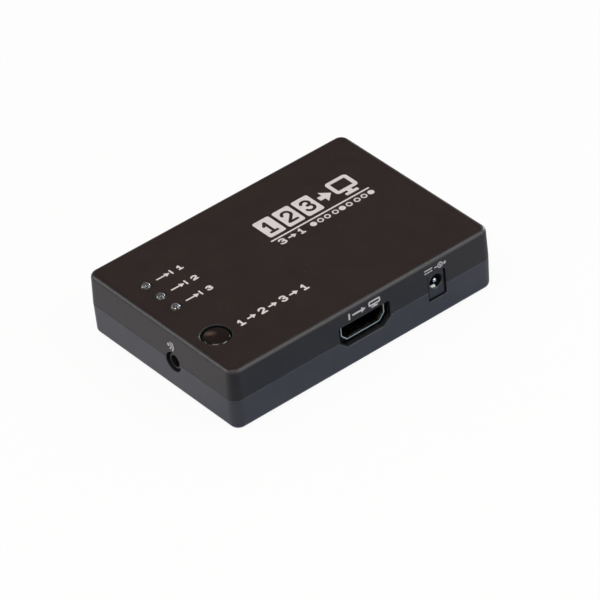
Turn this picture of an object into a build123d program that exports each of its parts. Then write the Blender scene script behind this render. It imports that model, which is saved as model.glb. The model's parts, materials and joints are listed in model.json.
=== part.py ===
from build123d import *
from itertools import pairwise
from math import atan2, degrees, sqrt
import os

os.makedirs("parts", exist_ok=True)

# Three-into-one video switch box. Lengths are in millimetres. The box stands on z = 0 and is
# centred on x and y. The output and the power inlet face -Y, the three inputs face +Y, and the
# receiver jack faces -X.

# Case, measured at its parting line, where it is widest
case_length = 90.0
case_depth = 62.5
case_height = 19.6
upper_height = 9.6
upper_taper_width = 0.3
lower_taper_width = 0.27
corner_radius = 3.0
inner_corner_radius = 1.0
top_edge_radius = 1.4
base_edge_radius = 1.6
wall = 2.0
seam_bevel = 0.15
lip_thickness = 0.9
lip_height = 1.0
lip_clearance = 0.1
port_edge_radius = 0.2
overrun = 1.0

# Corner screws and the bosses that they clamp
boss_inset = 5.7
lower_boss_radius = 3.3
upper_boss_radius = 2.6
boss_web = 1.2
screw_radius = 1.15
screw_grip = 3.9
screw_head_radius = 2.0
screw_head_height = 1.4
screw_seat_height = 3.0
screw_head_clearance = 0.3
screw_shank_clearance = 0.15
screw_thread_clearance = 0.02
screw_point = 0.5
drive_width = 0.5
drive_span = 2.2
drive_depth = 0.8

# Circuit board, its upper face just below the parting line
board_drop = 0.9
board_thickness = 1.6
board_edge_gap = 0.5
board_corner_radius = 1.0
board_hole_clearance = 0.25
lead_hole_clearance = 0.12
lead_stub = 0.9

# Nineteen-contact sockets: one output in front, three inputs behind
socket_width = 14.0
socket_height = 4.55
socket_bevel_width = 1.55
socket_bevel_height = 1.65
socket_bend_radius = 0.4
socket_sheet = 0.3
socket_depth = 11.0
socket_flare = 0.22
socket_flare_length = 0.8
socket_mouth_step = 0.8
socket_leg_width = 1.3
socket_leg_inset = 2.6
socket_leg_rise = 3.0
finger_width = 1.9
finger_length = 4.0
finger_slit = 0.25
finger_inset = 2.4
finger_spread = 7.6
tongue_width = 12.0
tongue_thickness = 1.25
tongue_drop = 1.35
tongue_recess = 2.0
insulator_length = 3.2
insulator_clearance = 0.03
contact_pitch = 1.0
contact_width = 0.3
contact_thickness = 0.2
contact_proud = 0.05
contact_tip_inset = 0.5
contact_rear_gap = 0.3
contact_foot = 1.0
upper_contacts = 10
lower_contacts = 9
input_x_shares = (-0.278, 0.0, 0.278)

# Openings in the case round the sockets
port_side_gap = 1.25
port_top_gap = 0.13
port_bottom_gap = 1.55
port_bevel_width = 2.5
port_bevel_height = 2.1
port_corner_radius = 0.6

# Power inlet
inlet_x_share = 0.28
inlet_width = 5.6
inlet_recess = 0.5
inlet_length = 11.0
inlet_axis_rise = 2.8
inlet_face_above = 2.7
inlet_face_below = 5.0
inlet_port_gap = 0.3
inlet_port_radius = 0.4
inlet_bore_radius = 2.1
inlet_bore_depth = 9.0
inlet_bore_bevel = 0.25
inlet_face_bevel = 0.2
inlet_pin_radius = 0.65
inlet_pin_recess = 0.45
inlet_pin_flange = 1.1
inlet_board_gap = 0.05
leaf_width = 2.0
leaf_thickness = 0.25
leaf_offset = 0.9
leaf_crest_height = 0.75
leaf_slot_gap = 0.1
leaf_ramp = 1.4
leaf_nose = 0.5

# Receiver jack, set into a notch of the board
jack_y_share = -0.0864
jack_axis_rise = 0.3
jack_port_radius = 3.0
jack_nozzle_radius = 2.5
jack_bore_radius = 1.8
jack_bore_depth = 12.8
jack_recess = 0.8
jack_width = 6.0
jack_height = 5.6
jack_length = 12.0
jack_wall_gap = 0.3
jack_notch_gap = 0.15
jack_ear_width = 1.0
jack_ear_length = 3.0
jack_ear_height = 0.8
jack_nozzle_bevel = 0.25
jack_leaf_width = 1.3
jack_leaf_gap = 0.08
jack_leaf_inset_shares = (0.22, 0.5, 0.78)
jack_leaf_length = 2.4

# Button and the push switch beneath it
column_inset = 7.94
button_y_share = -0.241
button_hole_radius = 4.3
button_hole_round = 0.3
button_radius = 4.0
button_sink = 0.1
button_crown = 0.3
button_edge_radius = 0.9
button_flange_radius = 5.0
button_flange_thickness = 0.8
button_flange_gap = 0.15
button_collar_radius = 2.7
button_collar_height = 0.9
button_socket_depth = 2.0
button_fit = 0.02
button_travel = 0.25
switch_size = 6.0
switch_height = 3.2
switch_floor = 1.2
switch_cavity_radius = 2.45
switch_cover_thickness = 0.3
switch_cover_skirt = 1.2
plunger_radius = 1.75
plunger_clearance = 0.12
plunger_flange_radius = 2.25
plunger_flange_gap = 0.05
dome_radius = 2.2
dome_sheet = 0.1
switch_leg_width = 0.7
switch_leg_thickness = 0.3
switch_leg_spread = 4.5
switch_leg_rise = 0.6
switch_leg_bite = 0.8

# Indicator lamps
led_y_shares = (0.2368, 0.1349, 0.033)
led_radius = 1.5
led_flange_radius = 1.9
led_flange_thickness = 1.0
led_height = 5.3
led_proud = 0.85
led_hole_radius = 1.62
led_hole_round = 0.15
led_lead = 0.5
led_lead_spread = 2.54
led_post_gap = 0.35
led_post_inset = 0.25
led_post_height = 0.9
led_post_rise = 1.7
led_neck_rise = 0.6

# Switching chip with leads on four sides
chip_x_share = 0.0
chip_y_share = 0.03
chip_size = 10.0
chip_thickness = 1.4
chip_lead_count = 16
chip_lead_pitch = 0.5
chip_lead_width = 0.22

# Control chip with leads on two sides
control_x_share = 0.235
control_y_share = -0.02
control_length = 9.9
control_width = 3.9
control_thickness = 1.5
control_lead_count = 8
control_lead_pitch = 1.27
control_lead_width = 0.4

# Leads bent down from a chip to the board
lead_thickness = 0.15
lead_shoulder = 0.3
lead_drop = 0.2
lead_foot = 0.5
chip_standoff = 0.1

# Voltage regulator behind the inlet
regulator_x_share = 0.36
regulator_y_share = -0.2
regulator_length = 6.5
regulator_width = 3.5
regulator_thickness = 1.6
regulator_lead_count = 3
regulator_lead_pitch = 2.3
regulator_lead_width = 0.7
regulator_tab_width = 3.0

# Clock crystal lying beside the chip
crystal_x_share = -0.17
crystal_y_share = -0.14
crystal_length = 11.0
crystal_width = 4.5
crystal_height = 3.4
crystal_base = 0.4
crystal_rim = 0.4
crystal_lead_radius = 0.22
crystal_lead_spread = 4.9

# Smoothing capacitors: round cans on square bases
can_place_shares = ((0.4, -0.02), (0.4, 0.12))
can_radius = 2.5
can_height = 4.9
can_base_size = 5.3
can_base_height = 0.8
can_edge_radius = 0.4

# Small chip resistors and capacitors
resistor_length = 1.6
resistor_width = 0.8
resistor_height = 0.45
resistor_pitch = 1.5
resistors_in_row = 8
resistor_row_y_share = 0.212
cap_length = 1.6
cap_width = 0.8
cap_height = 0.8
cap_pitch = 2.6
caps_in_row = 4
cap_row_gap = 1.6

parting_height = case_height - upper_height
board_top = parting_height - board_drop
board_underside = board_top - board_thickness
jack_axis_height = board_top + jack_axis_rise
screw_tip = board_top + screw_grip
ceiling = case_height - wall
dome_rise = 2 * button_travel
mouth_inset = wall - socket_mouth_step
board_edge_inset = wall + board_edge_gap
column_x = column_inset - case_length / 2
BASE = (Align.CENTER, Align.CENTER, Align.MIN)
CORNER = (Align.MIN, Align.MIN, Align.MIN)


def save(name, shape):
    """Write one sub-part under its own name."""
    export_step(shape, f"parts/{name}.step")


def group(solids, place=Pos(0, 0, 0)):
    """Like pieces kept as separate solids of one sub-part, moved together."""
    return Compound(children=[place * solid for solid in solids])


def block(low, high):
    """Box between two opposite corners."""
    return Pos(*low) * Box(*(b - a for a, b in zip(low, high)), align=CORNER)


def rod(x, y, radius, low, high):
    """Upright cylinder between two heights."""
    return Pos(x, y, low) * Cylinder(radius, high - low, align=BASE)


def run_in(outline, start, end):
    """Extrude an outline drawn in X and Z from depth start to depth end along +Y."""
    return extrude(Plane.XZ.offset(-start) * outline, amount=start - end)


def bent_strip(points, thickness, width):
    """Sheet strip in the YZ plane, mitred at its bends and centred across its width."""
    across = []
    for (u, v), (next_u, next_v) in pairwise(points):
        along = Vector(next_u - u, next_v - v).normalized()
        across.append(Vector(-along.Y, along.X))
    left, right = [], []
    for i, (u, v) in enumerate(points):
        before, after = across[max(i - 1, 0)], across[min(i, len(across) - 1)]
        mitre = (before + after).normalized()
        reach = thickness / 2 / mitre.dot(before)
        left.append((u + mitre.X * reach, v + mitre.Y * reach))
        right.append((u - mitre.X * reach, v - mitre.Y * reach))
    outline = make_face(Polyline(*left, *reversed(right), close=True))
    return extrude(Plane.YZ * outline, amount=width / 2, both=True)


def on_board(x_share, y_share):
    """Place on the board's upper face, as shares of the case's length and depth."""
    return Pos(x_share * case_length, y_share * case_depth, board_top)


def corners():
    """Centres of the four screw bosses."""
    reach_x, reach_y = case_length / 2 - boss_inset, case_depth / 2 - boss_inset
    return [(sx * reach_x, sy * reach_y) for sx in (-1, 1) for sy in (-1, 1)]


def drafted(inset, radius, height, draft):
    """Rounded block that narrows upward by its draft."""
    base = RectangleRounded(case_length - 2 * inset, case_depth - 2 * inset, radius)
    return extrude(base, amount=height, taper=degrees(atan2(draft, height)))


def half_shell(height, draft, edge_radius):
    """Open half case, its mouth at z = 0 and its closed side up."""
    skin = drafted(0, corner_radius, height, draft)
    skin = fillet(skin.faces().sort_by(Axis.Z)[-1].edges(), edge_radius)
    skin = chamfer(skin.faces().sort_by(Axis.Z)[0].edges(), seam_bevel)
    depth = height - wall
    inner_draft = draft * depth / height
    return skin - drafted(wall, inner_corner_radius, depth, inner_draft)


def port_outline():
    """Opening round a socket, in X and in height above the board."""
    half = socket_width / 2 + socket_sheet + socket_flare + port_side_gap
    top = socket_height + 2 * socket_sheet + socket_flare + port_top_gap
    bottom = -socket_flare - port_bottom_gap
    shoulder = bottom + port_bevel_height
    foot = half - port_bevel_width
    outline = Polyline(
        (-half, top), (half, top), (half, shoulder), (foot, bottom),
        (-foot, bottom), (-half, shoulder), close=True,
    )
    face = make_face(outline)
    return fillet(face.vertices(), port_corner_radius)


def inlet_outline(grow, radius):
    """Face of the power inlet, in X and in height above the board."""
    height = inlet_face_above + inlet_face_below + 2 * grow
    middle = inlet_axis_rise + (inlet_face_above - inlet_face_below) / 2
    return Pos(0, middle) * RectangleRounded(inlet_width + 2 * grow, height, radius)


def front_place(x_share):
    """Mouth of a piece in the front wall, at board level."""
    return Pos(x_share * case_length, mouth_inset - case_depth / 2, board_top)


def back_place(x_share):
    """Mouth of a piece in the back wall, turned to face +Y."""
    return Pos(x_share * case_length, case_depth / 2 - mouth_inset, board_top) * Rot(0, 0, 180)


def wall_ports():
    """Cutters for every opening in the side walls."""
    start, end = -mouth_inset - overrun, socket_mouth_step + upper_taper_width + lip_clearance
    socket_port = run_in(port_outline(), start, end)
    inlet_port = run_in(inlet_outline(inlet_port_gap, inlet_port_radius), start, end)
    jack_port = Pos(-case_length / 2 - overrun, jack_y_share * case_depth, jack_axis_height)
    jack_port *= Rot(0, 90, 0) * Cylinder(jack_port_radius, wall + 2 * overrun, align=BASE)
    ports = [front_place(0) * socket_port, front_place(inlet_x_share) * inlet_port, jack_port]
    return ports + [back_place(share) * socket_port for share in input_x_shares]


def bevel_ports(shell):
    """Round the outer edges of the openings in the side walls."""
    reach_x, reach_y = case_length / 2, case_depth / 2
    rims = []
    for face in shell.faces():
        middle = face.center()
        outside = abs(middle.Y) > reach_y - wall / 2 or middle.X < wall / 2 - reach_x
        if outside and face.area > wall * case_height:
            rims += port_rims(face)
    return fillet(rims, port_edge_radius)


def port_rims(face):
    """Edges of one outer side face that run round an opening and not round the face."""
    box = face.bounding_box()
    rims = []
    for edge in face.edges():
        middle = edge.center()
        across = (middle.X, box.min.X, box.max.X) if box.size.X > box.size.Y else (
            middle.Y, box.min.Y, box.max.Y)
        clear_of_sides = min(across[0] - across[1], across[2] - across[0]) > corner_radius
        level = edge.bounding_box().size.Z < seam_bevel
        at_seam = abs(middle.Z - parting_height) < 2 * seam_bevel
        at_roll = min(box.max.Z - middle.Z, middle.Z - box.min.Z) < seam_bevel
        if clear_of_sides and not (level and (at_seam or at_roll)):
            rims.append(edge)
    return rims


def lid_rims(shell, radius):
    """Rims of the lid's round holes of one radius."""
    lid = shell.faces().filter_by(Axis.Z).sort_by(Axis.Z)[-1]
    return [edge for edge in lid.edges().filter_by(GeomType.CIRCLE)
            if abs(edge.radius - radius) < led_hole_round]


def upper_shell():
    """Top half: lid, four screw bosses, seam groove, lamp and button holes."""
    shell = half_shell(upper_height, upper_taper_width, top_edge_radius)
    groove_inset = wall - lip_thickness - lip_clearance
    groove = RectangleRounded(
        case_length - 2 * groove_inset, case_depth - 2 * groove_inset,
        inner_corner_radius + lip_thickness,
    )
    shell -= extrude(groove, amount=lip_height + lip_clearance)
    shell = Pos(0, 0, parting_height) * shell
    for x, y in corners():
        shell += rod(x, y, upper_boss_radius, board_top, ceiling + wall / 2)
    pilot = screw_radius + screw_thread_clearance
    for x, y in corners():
        shell -= rod(x, y, pilot, board_top - overrun, screw_tip + screw_point)
    for port in wall_ports():
        shell -= port
    shell = bevel_ports(shell)
    holes = [rod(column_x, button_y_share * case_depth, button_hole_radius, ceiling - overrun,
                 case_height + overrun)]
    for share in led_y_shares:
        holes.append(rod(column_x, share * case_depth, led_hole_radius, ceiling - overrun,
                         case_height + overrun))
    for hole in holes:
        shell -= hole
    shell = fillet(lid_rims(shell, button_hole_radius), button_hole_round)
    return fillet(lid_rims(shell, led_hole_radius), led_hole_round)


def lower_shell():
    """Bottom half: floor, seam lip, and four bosses that carry the board."""
    shell = mirror(half_shell(parting_height, lower_taper_width, base_edge_radius), about=Plane.XY)
    shell = Pos(0, 0, parting_height) * shell
    lip_inset = wall - lip_thickness
    lip_outer = RectangleRounded(
        case_length - 2 * lip_inset, case_depth - 2 * lip_inset, inner_corner_radius + lip_thickness)
    lip_inner = RectangleRounded(
        case_length - 2 * wall, case_depth - 2 * wall, inner_corner_radius)
    shell += Pos(0, 0, parting_height) * extrude(lip_outer - lip_inner, amount=lip_height)
    for x, y in corners():
        shell += rod(x, y, lower_boss_radius, wall / 2, board_underside)
        side_x, side_y = (1 if x > 0 else -1), (1 if y > 0 else -1)
        reach = boss_inset - wall / 2
        length_web = Box(reach, boss_web, board_underside - wall / 2, align=BASE)
        depth_web = Box(boss_web, reach, board_underside - wall / 2, align=BASE)
        shell += Pos(x + side_x * reach / 2, y, wall / 2) * length_web
        shell += Pos(x, y + side_y * reach / 2, wall / 2) * depth_web
    for x, y in corners():
        shell -= rod(x, y, screw_head_radius + screw_head_clearance, -overrun, screw_seat_height)
        shell -= rod(x, y, screw_radius + screw_shank_clearance, 0, board_underside + overrun)
    for port in wall_ports():
        shell -= port
    return bevel_ports(shell)


def case_screws():
    """Four self-tapping screws with crossed drives, driven from below."""
    head_low = screw_seat_height - screw_head_height
    screws = []
    for x, y in corners():
        screw = rod(x, y, screw_radius, head_low, screw_tip)
        screw = chamfer(screw.edges().sort_by(Axis.Z)[-1], screw_point)
        head = rod(x, y, screw_head_radius, head_low, screw_seat_height)
        screw += fillet(head.edges().sort_by(Axis.Z)[0], drive_width)
        for span_x, span_y in ((drive_span, drive_width), (drive_width, drive_span)):
            drive = Box(span_x, span_y, drive_depth + overrun, align=BASE)
            screw -= Pos(x, y, head_low - overrun) * drive
        screws.append(screw)
    return group(screws)


def socket_mouth():
    """Inside outline of a socket shell, in X and in height above the board."""
    half, top = socket_width / 2, socket_sheet + socket_height
    shoulder, foot = socket_sheet + socket_bevel_height, half - socket_bevel_width
    outline = Polyline(
        (-half, top), (half, top), (half, shoulder), (foot, socket_sheet),
        (-foot, socket_sheet), (-half, shoulder), close=True,
    )
    face = make_face(outline)
    return fillet(face.vertices(), socket_bend_radius)


def grown(outline, amount):
    """The same outline with every side moved out."""
    return offset(outline, amount=amount, kind=Kind.INTERSECTION)


def flare(inside, outside, rear):
    """Tapered length at the mouth, from one outline to another."""
    near = Plane.XZ * grown(socket_mouth(), inside)
    far = Plane.XZ.offset(-rear) * grown(socket_mouth(), outside)
    return loft([near, far], ruled=True)


def finger_slits(x, low, high):
    """Three-sided slit that frees one spring finger in a shell's roof or floor."""
    front, rear = finger_inset, finger_inset + finger_length
    half = finger_width / 2
    window = block((x - half - finger_slit, front, low), (x + half + finger_slit, rear, high))
    finger = block((x - half, front + finger_slit, low), (x + half, rear + finger_slit, high))
    return window - finger


def leg_places():
    """Depths of a socket's two pairs of legs."""
    return socket_leg_inset, socket_depth - socket_leg_inset


def socket_shell():
    """Folded metal shell with a flared mouth, spring fingers and four legs."""
    outer, inner = grown(socket_mouth(), socket_sheet), socket_mouth()
    shell = run_in(outer, socket_flare_length, socket_depth)
    shell += flare(socket_sheet + socket_flare, socket_sheet, socket_flare_length)
    for side in (-1, 1):
        face = side * (socket_width / 2 + socket_sheet / 2)
        for depth in leg_places():
            low = -board_thickness - lead_stub
            leg = Box(socket_sheet, socket_leg_width, socket_leg_rise - low, align=BASE)
            shell += Pos(face, depth, low) * leg
    shell -= run_in(inner, -overrun, socket_depth + overrun)
    shell -= flare(socket_flare, 0, socket_flare_length)
    roof = socket_sheet + socket_height
    for side in (-1, 1):
        x = side * finger_spread / 2
        shell -= finger_slits(x, roof - socket_sheet, roof + 2 * socket_sheet)
        shell -= finger_slits(x / 2, -socket_sheet, 2 * socket_sheet)
    return shell


def socket_contact(x, strip_height):
    """One contact: along the tongue, out at the rear, down, and out on the board."""
    start = tongue_recess + contact_tip_inset
    rear = socket_depth + contact_rear_gap
    level = contact_thickness / 2
    path = [(start, strip_height), (rear, strip_height), (rear, level), (rear + contact_foot, level)]
    return Pos(x, 0, 0) * bent_strip(path, contact_thickness, contact_width)


def socket_contacts():
    """Two rows of contacts, the lower row half a pitch aside."""
    tongue_top = socket_sheet + socket_height - tongue_drop
    upper = tongue_top + contact_proud - contact_thickness / 2
    lower = tongue_top - tongue_thickness - contact_proud + contact_thickness / 2
    contacts = []
    for count, level in ((upper_contacts, upper), (lower_contacts, lower)):
        for i in range(count):
            contacts.append(socket_contact((i - (count - 1) / 2) * contact_pitch, level))
    return group(contacts)


def socket_insulator(contacts):
    """Moulded rear block and tongue that carry the contacts."""
    tongue_top = socket_sheet + socket_height - tongue_drop
    rear_outline = grown(socket_mouth(), -insulator_clearance)
    piece = run_in(rear_outline, socket_depth - insulator_length, socket_depth)
    half = tongue_width / 2
    tongue = block((-half, tongue_recess, tongue_top - tongue_thickness),
                   (half, socket_depth - insulator_length / 2, tongue_top))
    tips = tongue.faces().sort_by(Axis.Y)[0].edges().filter_by(Axis.X)
    piece += chamfer(tips, contact_thickness)
    for contact in contacts.solids():
        piece -= contact
    return piece


def circuit_board(places):
    """Board with its notch and with holes under every leg and lead."""
    length, depth = case_length - 2 * board_edge_inset, case_depth - 2 * board_edge_inset
    board = extrude(RectangleRounded(length, depth, board_corner_radius), amount=board_thickness)
    board = Pos(0, 0, board_underside) * board
    for x, y in corners():
        board -= rod(x, y, screw_radius + board_hole_clearance, board_underside - overrun,
                     board_top + overrun)
    jack_y = jack_y_share * case_depth
    notch = jack_width / 2 + jack_notch_gap
    notch_end = wall + jack_wall_gap + jack_length + jack_notch_gap - case_length / 2
    board -= block((-case_length / 2, jack_y - notch, board_underside - overrun),
                   (notch_end, jack_y + notch, board_top + overrun))
    slot = Box(socket_sheet + 2 * lead_hole_clearance, socket_leg_width + 2 * lead_hole_clearance,
               board_thickness + 2 * overrun)
    for place in places:
        for side in (-1, 1):
            for depth in leg_places():
                x = side * (socket_width + socket_sheet) / 2
                board -= place * Pos(x, depth, -board_thickness / 2) * slot
    for x, y, radius in lead_holes():
        board -= rod(x, y, radius, board_underside - overrun, board_top + overrun)
    return board


def lead_holes():
    """Centre and radius of each hole for a lamp lead, a switch leg or an inlet tail."""
    holes = []
    led_hole = led_lead / sqrt(2) + lead_hole_clearance
    for share in led_y_shares:
        for side in (-1, 1):
            holes.append((column_x + side * led_lead_spread / 2, share * case_depth, led_hole))
    leg_hole = switch_leg_width / 2 + lead_hole_clearance
    leg_x = (switch_size + switch_leg_thickness) / 2
    for side_x in (-1, 1):
        for side_y in (-1, 1):
            holes.append((column_x + side_x * leg_x,
                          button_y_share * case_depth + side_y * switch_leg_spread / 2, leg_hole))
    tail_y = inlet_recess + inlet_length + leaf_thickness / 2 - case_depth / 2
    inlet_x = inlet_x_share * case_length
    holes.append((inlet_x - leaf_offset, tail_y, leaf_width / 2 + lead_hole_clearance))
    return holes


def inlet_local():
    """Place of the inlet's face on its axis: the depth runs along +Y from there."""
    return Pos(inlet_x_share * case_length, inlet_recess - case_depth / 2, board_top)


def inlet_leaf_path():
    """Centre line of the inlet's spring contact, in depth and height above the board."""
    rest = inlet_axis_rise - inlet_bore_radius - leaf_slot_gap - leaf_thickness / 2
    rear = inlet_length + leaf_thickness / 2
    crest = rest + leaf_crest_height
    return [(leaf_nose, rest + leaf_thickness), (2 * leaf_nose, crest),
            (2 * leaf_nose + leaf_ramp, rest), (rear, rest), (rear, -board_thickness - lead_stub)]


def inlet_leaf():
    """Spring contact along the lower left of the inlet's bore, with its solder tail."""
    strip = bent_strip(inlet_leaf_path(), leaf_thickness, leaf_width)
    return inlet_local() * Pos(-leaf_offset, 0, 0) * strip


def inlet_pin():
    """Centre pin of the inlet, flanged into the rear of the housing."""
    front, rear = inlet_pin_recess, inlet_length - inlet_bore_bevel
    lie = Pos(0, front, inlet_axis_rise) * Rot(-90, 0, 0)
    pin = lie * Cylinder(inlet_pin_radius, rear - front, align=BASE)
    pin = fillet(pin.edges().sort_by(Axis.Y)[0], inlet_pin_radius / 2)
    back = Pos(0, rear, inlet_axis_rise) * Rot(-90, 0, 0)
    pin += back * Cylinder(inlet_pin_flange, inlet_bore_bevel, align=BASE)
    return inlet_local() * pin


def inlet_body(pin, leaf):
    """Housing of the inlet: a face that hangs over the board's edge, and a body on the board."""
    step = board_edge_inset - inlet_recess - inlet_board_gap
    face = run_in(inlet_outline(0, inlet_port_radius), 0, step)
    face = chamfer(face.faces().sort_by(Axis.Y)[0].edges(), inlet_face_bevel)
    top = inlet_axis_rise + inlet_face_above - inlet_face_bevel
    half = inlet_width / 2 - inlet_face_bevel
    body = face + block((-half, step - inlet_board_gap, 0), (half, inlet_length, top))
    axis = Pos(0, 0, inlet_axis_rise) * Rot(-90, 0, 0)
    body -= axis * Cylinder(inlet_bore_radius, inlet_bore_depth, align=BASE)
    mouth = Cone(inlet_bore_radius + inlet_bore_bevel, inlet_bore_radius, inlet_bore_bevel,
                 align=BASE)
    body -= axis * mouth
    rest = inlet_axis_rise - inlet_bore_radius - 2 * leaf_slot_gap - leaf_thickness
    half_slot = leaf_width / 2 + leaf_slot_gap
    body -= Pos(-leaf_offset, 0, 0) * block(
        (-half_slot, leaf_nose - leaf_slot_gap, rest), (half_slot, inlet_length, inlet_axis_rise))
    return inlet_local() * body - pin - leaf


def jack_place():
    """Front of the receiver jack's housing on its axis, with depth turned to run along +Y."""
    front = wall + jack_wall_gap - case_length / 2
    return Pos(front, jack_y_share * case_depth, jack_axis_height) * Rot(0, 0, -90)


def jack_leaf_block(share, lower):
    """Space of one side contact: a window from the bore to the top or the bottom."""
    middle = share * jack_length
    near, far = jack_bore_radius + jack_leaf_gap, jack_height / 2
    low, high = (-far, -near) if lower else (near, far)
    half = jack_leaf_width / 2
    return block((-half, middle - jack_leaf_length / 2, low),
                 (half, middle + jack_leaf_length / 2, high))


def jack_contacts():
    """Three side contacts that bear on the plug's sleeve, ring and tip."""
    leaves = []
    for i, share in enumerate(jack_leaf_inset_shares):
        lower = i % 2 == 0
        whole = jack_leaf_block(share, lower)
        leaves.append(jack_place() * whole)
    return group(leaves)


def jack_body(contacts):
    """Housing of the receiver jack: nozzle, bore and two ears that sit on the board."""
    half, tall = jack_width / 2, jack_height / 2
    body = block((-half, 0, -tall), (half, jack_length, tall))
    nozzle_length = wall + jack_wall_gap - jack_recess
    axis = Pos(0, -nozzle_length, 0) * Rot(-90, 0, 0)
    nozzle = axis * Cylinder(jack_nozzle_radius, nozzle_length, align=BASE)
    body += chamfer(nozzle.edges().sort_by(Axis.Y)[0], jack_nozzle_bevel)
    ear_low = board_top - jack_axis_height
    reach = half + jack_ear_width
    middle = jack_length / 2
    body += block((-reach, middle, ear_low),
                  (reach, middle + jack_ear_length, ear_low + jack_ear_height))
    body -= axis * Cylinder(jack_bore_radius, jack_bore_depth, align=BASE)
    body = jack_place() * body
    for contact in contacts.solids():
        body -= contact
    return body


def button_local():
    """Centre of the button and its switch, at board level."""
    return Pos(column_x, button_y_share * case_depth, board_top)


def cap_levels():
    """Heights above the board of the cap's top, flange top, flange base and socket end."""
    top = case_height - button_sink - board_top
    flange_top = ceiling - button_flange_gap - board_top
    flange_base = flange_top - button_flange_thickness
    collar_base = flange_base - button_collar_height
    return top, flange_top, flange_base, collar_base


def plunger_top():
    """Height above the board at which the switch's stem ends inside the cap."""
    return cap_levels()[3] + button_socket_depth


def select_button():
    """Crowned cap with a flange that keeps it in the lid."""
    top, flange_top, flange_base, collar_base = cap_levels()
    rim = top - button_crown
    crown = TangentArc((0, top), (button_radius, rim), tangent=(1, 0))
    sides = Polyline((button_radius, rim), (button_radius, flange_base), (0, flange_base), (0, top))
    profile = make_face(crown + sides)
    edge = profile.vertices().sort_by_distance((button_radius, rim))[0]
    cap = revolve(Plane.XZ * fillet(edge, button_edge_radius), axis=Axis.Z)
    cap += rod(0, 0, button_flange_radius, flange_base, flange_top)
    cap += rod(0, 0, button_collar_radius, collar_base, flange_top)
    cap -= rod(0, 0, plunger_radius + button_fit, collar_base - overrun, plunger_top())
    return button_local() * cap


def switch_plunger():
    """Stem of the push switch, from the snap dome up into the cap."""
    base = switch_floor + dome_rise
    flange_top = switch_height - plunger_flange_gap
    stem = rod(0, 0, plunger_radius, flange_top, plunger_top())
    stem += rod(0, 0, plunger_flange_radius, base, flange_top)
    return button_local() * stem


def switch_dome():
    """Shallow spring dome under the stem."""
    ball = (dome_radius ** 2 + dome_rise ** 2) / (2 * dome_rise)
    middle = switch_floor + dome_rise - ball
    cap = Pos(0, 0, middle) * (Sphere(ball) - Sphere(ball - dome_sheet))
    return button_local() * (cap & rod(0, 0, dome_radius, switch_floor, switch_height))


def switch_legs():
    """Four legs of the push switch, gripped by its base."""
    outer = (switch_size + switch_leg_thickness) / 2
    path = [(outer - switch_leg_bite, switch_leg_rise), (outer, switch_leg_rise),
            (outer, -board_thickness - lead_stub)]
    legs = []
    for turn in (-90, 90):
        for side in (-1, 1):
            leg = Pos(side * switch_leg_spread / 2, 0, 0) * bent_strip(
                path, switch_leg_thickness, switch_leg_width)
            legs.append(button_local() * Rot(0, 0, turn) * leg)
    return group(legs)


def switch_base(legs):
    """Moulded base of the push switch, hollow over its floor."""
    base = Box(switch_size, switch_size, switch_height, align=BASE)
    base -= rod(0, 0, switch_cavity_radius, switch_floor, switch_height + overrun)
    base = button_local() * base
    for leg in legs.solids():
        base -= leg
    return base


def switch_cover():
    """Pressed cover that closes the push switch, with two skirts down its sides."""
    half = switch_size / 2
    top = switch_height + switch_cover_thickness
    cover = block((-half, -half - switch_cover_thickness, switch_height),
                  (half, half + switch_cover_thickness, top))
    for side in (-1, 1):
        inner, outer = side * half, side * (half + switch_cover_thickness)
        skirt_low = switch_height - switch_cover_skirt
        cover += block((-half, min(inner, outer), skirt_low), (half, max(inner, outer), top))
    cover -= rod(0, 0, plunger_radius + plunger_clearance, switch_height - overrun, top + overrun)
    return button_local() * cover


def led_base():
    """Height of a lamp's underside, set by how far its top stands out of the lid."""
    return case_height + led_proud - led_height


def led_leads(share):
    """Two leads of one lamp, widened to posts inside the lens."""
    y = share * case_depth
    half = led_lead / 2
    neck_low, post_low = led_base() + led_neck_rise, led_base() + led_post_rise
    post_top = post_low + led_post_height
    reach = led_radius - led_post_inset
    leads = []
    for side in (-1, 1):
        x = side * led_lead_spread / 2
        lead = block((x - half, -half, board_underside - lead_stub), (x + half, half, neck_low + half))
        neck = block((min(side * (reach - led_lead), side * reach), -half, neck_low),
                     (max(side * (reach - led_lead), side * reach), half, post_top))
        post = block((min(side * led_post_gap / 2, side * reach), -half, post_low),
                     (max(side * led_post_gap / 2, side * reach), half, post_top))
        leads.append(lead + neck + post)
    return group(leads, Pos(column_x, y, 0))


def led_lens(share, leads):
    """Clear lens: flange, barrel and round top."""
    y = share * case_depth
    low, centre = led_base(), led_base() + led_height - led_radius
    lens = rod(column_x, y, led_radius, low, centre)
    lens += Pos(column_x, y, centre) * Sphere(led_radius)
    lens += rod(column_x, y, led_flange_radius, low, low + led_flange_thickness)
    for lead in leads.solids():
        lens -= lead
    return lens


def gull_lead(height, width):
    """Lead from a chip's side at the origin, out, down and out again on the board."""
    level = lead_thickness / 2
    path = [(0, height), (lead_shoulder, height), (lead_shoulder + lead_drop, level),
            (lead_shoulder + lead_drop + lead_foot, level)]
    return bent_strip(path, lead_thickness, width)


def lead_row(count, pitch, lead, reach, turn):
    """Leads side by side along one side of a chip."""
    row = []
    for i in range(count):
        x = (i - (count - 1) / 2) * pitch
        row.append(Rot(0, 0, turn) * Pos(x, reach, 0) * lead)
    return row


def chip_body(length, width, thickness):
    """Moulded chip body with bevelled top edges, held just off the board."""
    body = Pos(0, 0, chip_standoff) * Box(length, width, thickness, align=BASE)
    return chamfer(body.faces().sort_by(Axis.Z)[-1].edges(), lead_thickness)


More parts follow.
